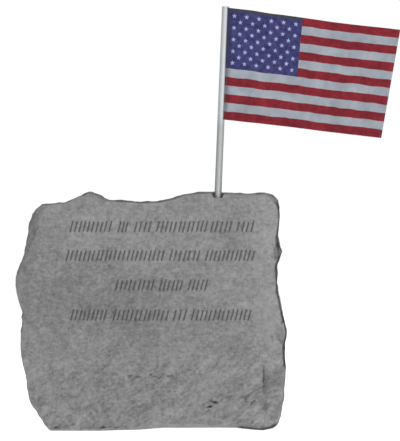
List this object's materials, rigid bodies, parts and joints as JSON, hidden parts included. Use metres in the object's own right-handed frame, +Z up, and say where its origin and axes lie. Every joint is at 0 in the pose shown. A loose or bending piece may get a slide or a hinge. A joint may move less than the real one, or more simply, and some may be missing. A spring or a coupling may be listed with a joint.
{
  "type": "garden memorial stone",
  "caption": "Upright rough-edged cast-stone garden memorial with an engraved face and a small printed flag on a thin metal pole in its top.",
  "frame": {"origin": "on the flat underside, below the middle of the stone's width and thickness", "axes": "+Z up, +X to the right as seen from the front, and the engraved face looks along -Y"},
  "size_m": [0.6848, 0.09, 0.7532],
  "materials": {
    "cast_stone": "rough, mottled grey",
    "metal_tube": "satin, drawn lengthwise",
    "flag_cloth": "printed plain weave, red and white stripes with a blue canton"
  },
  "bodies": {
    "root": {"stone": "cast_stone", "flagpole": "metal_tube", "flag": "flag_cloth"}
  },
  "joints": []
}
